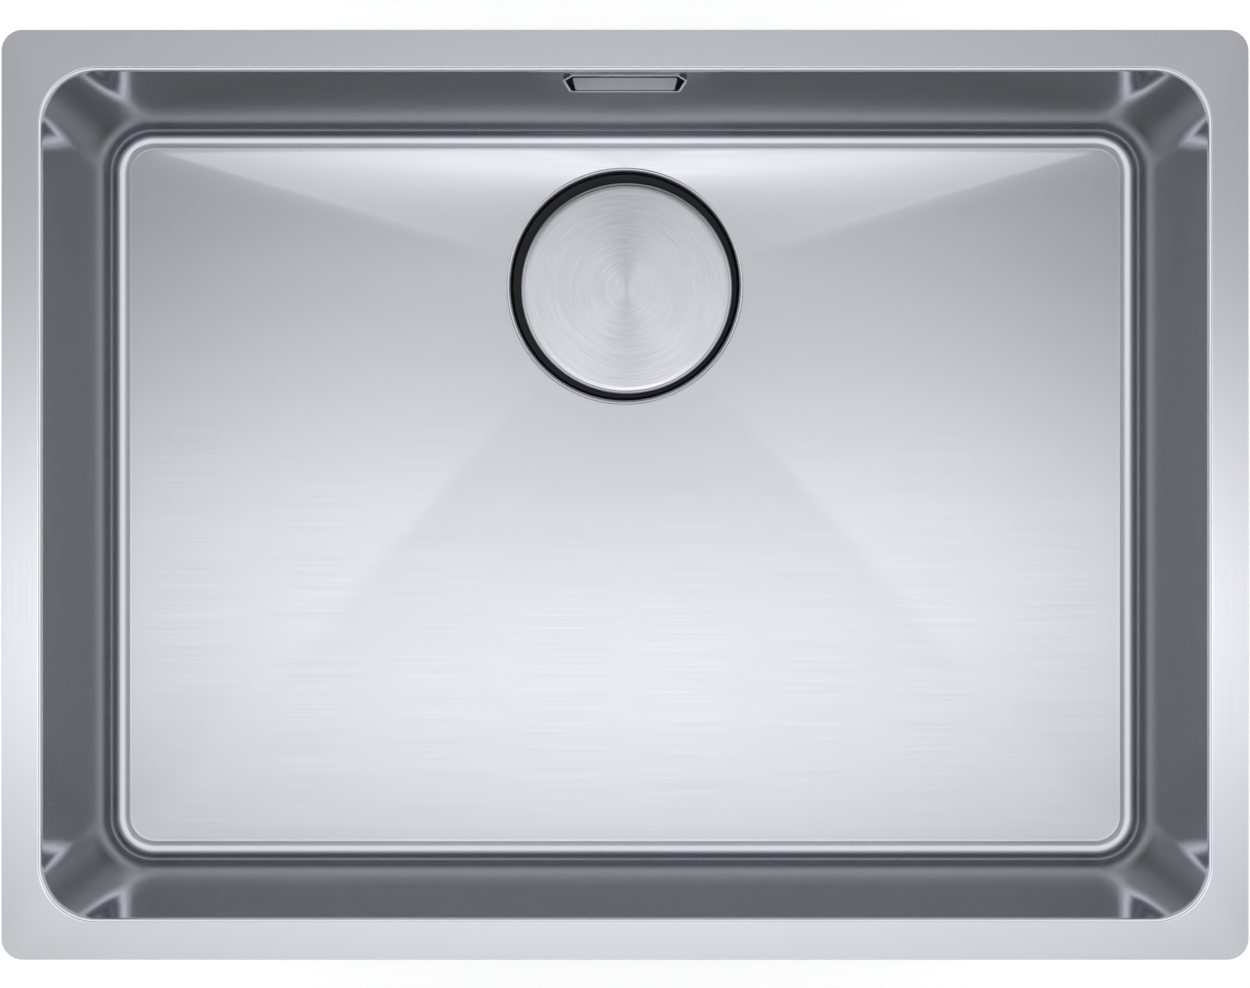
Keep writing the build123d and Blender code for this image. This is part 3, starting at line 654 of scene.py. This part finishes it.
bellows_end = bellows_top - bellows_pitch * bellows_ribs
turn_level = pipe_level + pipe_bend
turn_y = pipe_y - pipe_bend
straight = np.linspace(pipe_top, bellows_top, straight_rows + 1)[:-1]
ribbed = np.linspace(bellows_top, bellows_end, bellows_ribs * rib_rows + 1)
bent = np.linspace(0, np.pi / 2, pipe_bend_rows + 1)
forward = np.linspace(turn_y, pipe_front, forward_rows + 1)[1:]
turned = np.concatenate([np.zeros(len(straight) + len(ribbed)), bent, np.full(len(forward), np.pi / 2)])
centres = np.concatenate([
    [(0, pipe_y, z) for z in np.concatenate([straight, ribbed])],
    [(0, turn_y + pipe_bend * cos(a), turn_level - pipe_bend * sin(a)) for a in bent],
    [(0, y, pipe_level) for y in forward],
])
swell = np.zeros(len(turned))
waves = 0.5 - 0.5 * np.cos(2 * np.pi * (bellows_top - ribbed) / bellows_pitch)
swell[len(straight):len(straight) + len(ribbed)] = bellows_rise * waves ** rib_roundness
right = np.tile([1.0, 0.0, 0.0], (len(turned), 1))
up = np.column_stack([np.zeros(len(turned)), np.cos(turned), -np.sin(turned)])
radius_at = (pipe_radius + swell)[:, None] * np.ones(pipe_columns)
skin = rings_about(centres, right, up, radius_at)
bore = rings_about(centres, right, up, radius_at - pipe_wall)
pipe = ringed("bellows_pipe", np.concatenate([skin, bore[::-1]]), "sink", sharp=50)
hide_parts("overflow_pipe")
pipe.data.materials.append(grey_moulding)
dress(black_moulding, "overflow_upper_nut", "overflow_lower_nut")
dress(rubber, "overflow_upper_washer", "overflow_lower_washer")

# Waste body: a grey moulded cup and cone under the ledge with a branch for the overflow, a
# cross of webs that takes the clamping screw's nut, and a threaded outlet for the trap.
outlet_top = -0.272
outlet_end = -0.290
outlet_bore = 0.0195
thread_crest = 0.0239
thread_depth = 0.00148
thread_pitch = 0.00231
thread_start = 0.0015
start_length = 0.001
finish_length = 0.0012
end_chamfer = 0.0005
ridge_peak = 1.5
ridge_fall = 3.2
thread_columns = 120
thread_rows = 110
thread_rows_per_bore_row = 10

levels = np.linspace(outlet_top, outlet_end, thread_rows)
share = np.arange(thread_columns) / thread_columns
phase = ((outlet_top - levels)[:, None] / thread_pitch + share) % 1.0
ridge = np.clip(ridge_peak - ridge_fall * np.abs(phase - 0.5), 0, 1)
start = np.clip((outlet_top - thread_start - levels) / start_length, 0, 1)[:, None]
finish = np.clip((levels - outlet_end) / finish_length, 0, 1)[:, None]
root = thread_crest - thread_depth
outer_radii = root + thread_depth * ridge * start * finish - end_chamfer * (1 - finish)
inner_levels = levels[::-thread_rows_per_bore_row]
heights = np.concatenate([levels, inner_levels])
radii = np.concatenate([outer_radii, np.full((len(inner_levels), thread_columns), outlet_bore)])
centres = np.column_stack([np.zeros(len(heights)), np.full(len(heights), drain_y), heights])
right = np.tile([1.0, 0.0, 0.0], (len(heights), 1))
up = np.tile([0.0, 1.0, 0.0], (len(heights), 1))
outlet_rings = rings_about(centres, right, up, radii)
outlet = ringed("threaded_outlet", outlet_rings, "sink", sharp=50)
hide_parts("waste_outlet")
outlet.data.materials.append(grey_moulding)
dress(grey_moulding, "waste_body", "waste_cross")

# Strainer flange: a black moulded dish through the ledge, with a spoked floor, between two
# rubber gaskets. One steel screw through its hub and a brass nut clamp it to the waste body.
dress(black_moulding, "strainer_flange")
dress(rubber, "body_gasket", "flange_gasket")
dress(screw_steel, "clamp_screw")

brass, tree, shader = new_material("turned_brass")
place = on_piece(tree)
wear = noise(tree, place, 600, (1, 1, 1), 3)
shader.inputs["Metallic"].default_value = 1.0
tree.links.new(ramp(tree, wear, (0.62, 0.44, 0.19), (0.74, 0.56, 0.27)), shader.inputs["Base Color"])
tree.links.new(spread(tree, wear, 0.20, 0.36), shader.inputs["Roughness"])
relief(tree, shader, wear, 0.00002)
dress(brass, "clamp_nut")

# Basket: a pressed cup of thin stainless with a drilled floor and a slotted wall, a moulded
# post and knob through its middle and a soft ring round its neck.
def from_axis(tree, centre):
    """The x and y distance from an upright axis, and the radius about it."""
    spot = parts_of(tree, on_piece(tree))
    x = math(tree, "SUBTRACT", spot["X"], centre[0])
    y = math(tree, "SUBTRACT", spot["Y"], centre[1])
    square = math(tree, "ADD", product(tree, x, x), product(tree, y, y))
    return x, y, math(tree, "SQRT", square)


def rounds(tree, centre, ring_scale, arc_scale):
    """Noise in rings about an upright axis: over the radius, finely, and x and y, broadly."""
    x, y, radius = from_axis(tree, centre)
    place = tree.nodes.new("ShaderNodeCombineXYZ")
    for socket, source, scale in (("X", x, arc_scale), ("Y", y, arc_scale), ("Z", radius, ring_scale)):
        tree.links.new(product(tree, source, scale), place.inputs[socket])
    return noise(tree, place.outputs[0], 1.0, (1, 1, 1))


thin_sheet, tree, shader = new_material("pressed_sheet")
fine = rounds(tree, (0, drain_y), 2500, 60)
shader.inputs["Metallic"].default_value = 1.0
tree.links.new(ramp(tree, fine, (0.74, 0.745, 0.76), (0.80, 0.805, 0.82)), shader.inputs["Base Color"])
tree.links.new(spread(tree, fine, 0.20, 0.30), shader.inputs["Roughness"])
relief(tree, shader, fine, 0.000002)
dress(thin_sheet, "strainer_basket")
dress(rubber, "basket_seal")
dress(black_moulding, "basket_knob")

# Cover: a loose disc of stainless sheet, turned down all round, that hides the basket. It is
# brushed in rings about its centre and lies a little to the front right in the recess. The
# black moulded carrier under it stands on the basket's rim.
cover_x = 0.0008
cover_y = 0.1043
cover_top = -0.2015
cover_radius = 0.05375
cover_sheet = 0.0012
cover_skirt = 0.004
cover_edge = 0.002
middle_radius = 0.0003
top_rows = 24
under_rows = 12
edge_steps = 8
inner_edge_steps = 5
cover_columns = 256

top_run, top_rise = round_rows(cover_edge, radians(90), 0, edge_steps)
inner_run, inner_rise = round_rows(cover_edge - cover_sheet, 0, radians(90), inner_edge_steps)
edge_x = cover_radius - cover_edge
edge_z = cover_top - cover_edge
skirt_end = cover_top - cover_skirt
under_top = cover_top - cover_sheet
profile = np.concatenate([
    np.column_stack([np.linspace(middle_radius, edge_x, top_rows)[:-1], np.full(top_rows - 1, cover_top)]),
    np.column_stack([edge_x + top_run, edge_z + top_rise]),
    [(cover_radius, skirt_end), (cover_radius - cover_sheet, skirt_end)],
    np.column_stack([edge_x + inner_run, edge_z + inner_rise]),
    np.column_stack([np.linspace(edge_x, middle_radius, under_rows)[1:], np.full(under_rows - 1, under_top)]),
])
centres = np.column_stack([np.full(len(profile), cover_x), np.full(len(profile), cover_y), profile[:, 1]])
right = np.tile([1.0, 0.0, 0.0], (len(profile), 1))
up = np.tile([0.0, 1.0, 0.0], (len(profile), 1))
cover_rings = rings_about(centres, right, up, profile[:, :1] * np.ones(cover_columns))
poles = [(cover_x, cover_y, cover_top), (cover_x, cover_y, under_top)]
cover = ringed("cover_disc", cover_rings, "cover", poles=poles)
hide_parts("drain_cover")

# The disc's colours span its ring brushing, a painted highlight lighter at its left and right sides, and
# painted shade on its rolled edge.
dark_disc = (0.30, 0.305, 0.35)
light_disc = (0.925, 0.935, 1.0)
lightest_sheen = 0.88
disc_sheen = 0.63
ring_gain = 0.32
side_highlight_gain = 0.17
rolled_edge_shade = 0.46
side_highlight_softness = 0.004
brushed, tree, shader = new_material("ring_brushed_steel_painted_highlight")
fine = rounds(tree, (cover_x, cover_y), 3200, 50)
broad = rounds(tree, (cover_x, cover_y), 1100, 70)
shader.inputs["Metallic"].default_value = 1.0
shader.inputs["Anisotropic"].default_value = 0.85
x, y, radius = from_axis(tree, (cover_x, cover_y))
# Painted highlight: lighter towards the disc's left and right sides. Painted shade: the rolled edge is
# darker.
side = math(tree, "DIVIDE", math(tree, "ABSOLUTE", x), math(tree, "ADD", radius, side_highlight_softness))
rolled = math(tree, "GREATER_THAN", radius, edge_x)
rings_and_painted_light = math(tree, "ADD", product(tree, broad, ring_gain), disc_sheen)
rings_and_painted_light = mixed(tree, rings_and_painted_light, ((side, side_highlight_gain), (rolled, -rolled_edge_shade)))
tree.links.new(ramp(tree, rings_and_painted_light, dark_disc, light_disc, 0.0, lightest_sheen), shader.inputs["Base Color"])
tree.links.new(spread(tree, fine, 0.17, 0.24), shader.inputs["Roughness"])
relief(tree, shader, fine, 0.000001)
along_uv(tree, shader)
cover.data.materials.append(brushed)
dress(black_moulding, "cover_carrier")

# Studio: a pale floor under the sink, one broad soft panel overhead, and a pale world that is
# brighter overhead and at the horizon. The panel is brightest over the sink and nearly dark
# along its edges, where the walls see it.
stage_gap = 0.002
stage_half = 20.0
stage_level = cad_low.z - stage_gap
stage_glow = 0.50


def stage_sheet(name, corners, level):
    """A level sheet of the studio, through four corners given as x and y."""
    mesh = bpy.data.meshes.new(name)
    mesh.from_pydata([(x, y, level) for x, y in corners], [], [(0, 1, 2, 3)])
    piece = bpy.data.objects.new(name, mesh)
    bpy.context.scene.collection.objects.link(piece)
    return piece


corners = np.array([[-1, -1], [1, -1], [1, 1], [-1, 1]]) * stage_half
floor = stage_sheet("studio_floor", corners, stage_level)
floor_finish, tree, shader = new_material("pale_floor")
shader.inputs["Base Color"].default_value = (0.86, 0.86, 0.86, 1)
shader.inputs["Roughness"].default_value = 0.9
path = tree.nodes.new("ShaderNodeLightPath")
seen = math(tree, "MAXIMUM", path.outputs["Is Camera Ray"], path.outputs["Is Glossy Ray"])
shown = math(tree, "MAXIMUM", seen, path.outputs["Is Transmission Ray"])
shader.inputs["Emission Color"].default_value = (1, 1, 1, 1)
tree.links.new(product(tree, shown, stage_glow), shader.inputs["Emission Strength"])
floor.data.materials.append(floor_finish)

panel_height = 6.5
panel_side = 2.3
panel_front = -2.9
panel_back = 2.3
panel_scale = 3.14
panel_shift = 0.12
core_v = -0.10
core_half_v = 0.085
core_half_u = 0.37
core_gain = 1.22
bright_half_u = 0.335
bright_v = -0.035
bright_half_v = 0.29
bright_edge = 0.05
side_u = 0.24
side_half_u = 0.10
side_v = 0.105
side_half_v = 0.055
side_loss = 0.30
back_v = 0.26
back_half_v = 0.12
back_loss = 0.19
panel_level = 0.60
panel_rest = 0.06


def plateau(tree, source, centre, half, edge):
    """A flat top with soft edges: 1 inside the half width, falling to 0 over the edge."""
    away = math(tree, "ABSOLUTE", math(tree, "SUBTRACT", source, centre))
    node = tree.nodes.new("ShaderNodeMapRange")
    node.interpolation_type = "SMOOTHSTEP"
    node.inputs["From Min"].default_value = half
    node.inputs["From Max"].default_value = half + edge
    node.inputs["To Min"].default_value = 1.0
    node.inputs["To Max"].default_value = 0.0
    tree.links.new(away, node.inputs["Value"])
    return node.outputs["Result"]


front_corners = [(-panel_side, panel_front), (panel_side, panel_front)]
back_corners = [(-panel_side, panel_back), (panel_side, panel_back)]
corners = [front_corners[0], back_corners[0], back_corners[1], front_corners[1]]
panel = stage_sheet("studio_panel", corners, panel_height)
glow = bpy.data.materials.new("panel_glow")
glow.use_nodes = True
tree = glow.node_tree
tree.nodes.clear()
spot = parts_of(tree, on_piece(tree))
u = math(tree, "DIVIDE", spot["X"], panel_scale)
v = math(tree, "DIVIDE", math(tree, "SUBTRACT", spot["Y"], panel_shift), panel_scale)
core = product(tree, hump(tree, v, core_v, core_half_v), hump(tree, u, 0.0, core_half_u))
across_panel = plateau(tree, u, 0.0, bright_half_u, bright_edge)
along_panel = plateau(tree, v, bright_v, bright_half_v, bright_edge)
flat = product(tree, across_panel, along_panel)
side = hump(tree, math(tree, "ABSOLUTE", u), side_u, side_half_u)
shade = product(tree, product(tree, side, hump(tree, v, side_v, side_half_v)), side_loss)
back = product(tree, hump(tree, v, back_v, back_half_v), back_loss)
base = math(tree, "SUBTRACT", panel_level, math(tree, "ADD", shade, back))
bright = product(tree, flat, math(tree, "ADD", product(tree, core, core_gain), base))
emission = tree.nodes.new("ShaderNodeEmission")
tree.links.new(math(tree, "ADD", bright, panel_rest), emission.inputs["Strength"])
output = tree.nodes.new("ShaderNodeOutputMaterial")
tree.links.new(emission.outputs[0], output.inputs["Surface"])
panel.data.materials.append(glow)

sky_low = 0.42
sky_high = 0.62
sky_dim = 0.34
sky_bright = 1.0
horizon_half = 0.25
horizon_gain = 0.6
world = bpy.data.worlds.new("studio")
bpy.context.scene.world = world
world.use_nodes = True
tree = world.node_tree
background = tree.nodes["Background"]
background.inputs["Color"].default_value = (1, 1, 1, 1)
upwards = parts_of(tree, tree.nodes.new("ShaderNodeTexCoord").outputs["Generated"])["Z"]
lift = tree.nodes.new("ShaderNodeMapRange")
lift.interpolation_type = "SMOOTHSTEP"
lift.inputs["From Min"].default_value = sky_low
lift.inputs["From Max"].default_value = sky_high
lift.inputs["To Min"].default_value = sky_dim
lift.inputs["To Max"].default_value = sky_bright
tree.links.new(upwards, lift.inputs["Value"])
horizon = product(tree, hump(tree, upwards, 0.0, horizon_half), horizon_gain)
tree.links.new(math(tree, "ADD", lift.outputs["Result"], horizon), background.inputs["Strength"])

# Camera: straight above the sink, a third of a millimetre behind the flange's centre, at the
# photograph's distance.
camera_y = 0.00035
camera_height = 2.93
camera_data = bpy.data.cameras.new("camera")
camera_data.lens = 178.4
camera_data.sensor_width = 36
camera_data.clip_end = 50
camera = bpy.data.objects.new("camera", camera_data)
camera.location = (0, camera_y, camera_height)
bpy.context.scene.collection.objects.link(camera)
bpy.context.scene.camera = camera
bpy.context.scene.view_settings.view_transform = "Standard"
